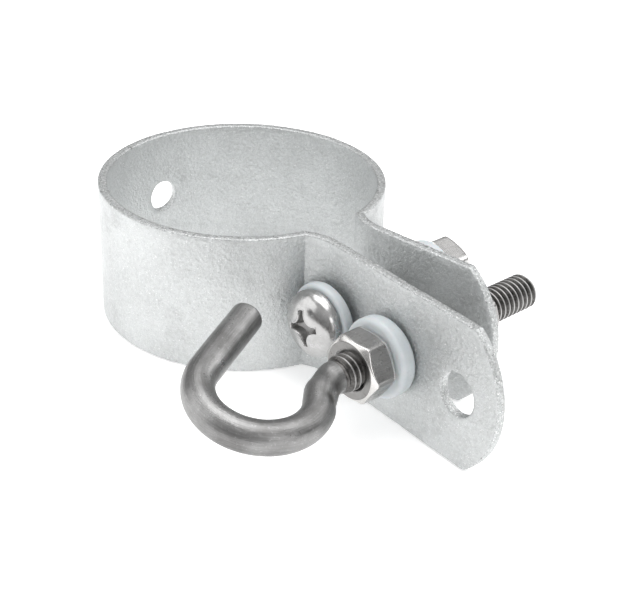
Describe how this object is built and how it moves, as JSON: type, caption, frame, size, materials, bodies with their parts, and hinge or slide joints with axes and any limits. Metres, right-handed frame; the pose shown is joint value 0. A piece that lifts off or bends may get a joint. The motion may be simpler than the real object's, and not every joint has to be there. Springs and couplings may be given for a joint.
{
  "type": "pipe clamp with hook bolt",
  "caption": "Strip clamp for a round tube with two ears, a cross-recess clamping screw and a threaded hook bolt with an open loop across the ears.",
  "frame": {"origin": "on the ring's axis, in the plane of the clamp's lower edge", "axes": "+Z along the tube, +X from the ring towards the ears, +Y along the bolts towards the back"},
  "size_m": [0.1197, 0.0872, 0.0315],
  "materials": {
    "zinc_strip": "hot-dip galvanised, finely mottled, sheared edges",
    "polished_screw": "polished stainless steel",
    "bright_nut": "satin stainless steel with bright bevels",
    "steel_bar": "drawn stainless bar, satin",
    "nylon": "natural nylon, smooth, slightly translucent",
    "zinc_washer": "zinc plated"
  },
  "bodies": {
    "clamp": {"clamp_band": "zinc_strip", "screw_washer": "nylon"},
    "screw": {"clamp_screw": "polished_screw"},
    "screw_nut_travel": {"clamp_nut_washer": "nylon"},
    "screw_nut": {"clamp_nut": "bright_nut"},
    "hook": {"hook_bolt": "steel_bar"},
    "front_nut_travel": {"hook_front_washer": "nylon"},
    "front_nut": {"hook_front_nut": "bright_nut"},
    "back_nut_travel": {"hook_back_washer": "zinc_washer"},
    "back_nut": {"hook_back_nut": "bright_nut"}
  },
  "joints": [
    {"name": "hook_swivel", "type": "hinge", "parent": "clamp", "child": "hook", "pos_m": [0.0568, 0, 0.0154], "axis": [0, 1, 0], "continuous": true},
    {"name": "front_nut_slide", "type": "slide", "parent": "hook", "child": "front_nut_travel", "axis": [0, -1, 0], "range_m": [0, 0.00373]},
    {"name": "front_nut_turn", "type": "hinge", "parent": "front_nut_travel", "child": "front_nut", "pos_m": [0.0568, 0, 0.0154], "axis": [0, -1, 0], "range_deg": [0, 950]},
    {"name": "back_nut_slide", "type": "slide", "parent": "hook", "child": "back_nut_travel", "axis": [0, 1, 0], "range_m": [0, 0.01498]},
    {"name": "back_nut_turn", "type": "hinge", "parent": "back_nut_travel", "child": "back_nut", "pos_m": [0.0568, 0, 0.0154], "axis": [0, 1, 0], "range_deg": [0, 3820]},
    {"name": "screw_turn", "type": "hinge", "parent": "clamp", "child": "screw", "pos_m": [0.0389, 0, 0.0154], "axis": [0, 1, 0], "continuous": true},
    {"name": "clamp_nut_slide", "type": "slide", "parent": "screw", "child": "screw_nut_travel", "axis": [0, -1, 0], "range_m": [0, 0.00937]},
    {"name": "clamp_nut_turn", "type": "hinge", "parent": "screw_nut_travel", "child": "screw_nut", "pos_m": [0.0389, 0, 0.0154], "axis": [0, -1, 0], "range_deg": [0, 2390]}
  ],
  "couplings": [
    {"joint": "front_nut_slide", "follows": "front_nut_turn", "m_per_rad": 0.00022457},
    {"joint": "back_nut_slide", "follows": "back_nut_turn", "m_per_rad": 0.00022457},
    {"joint": "clamp_nut_slide", "follows": "clamp_nut_turn", "m_per_rad": 0.00022457}
  ]
}
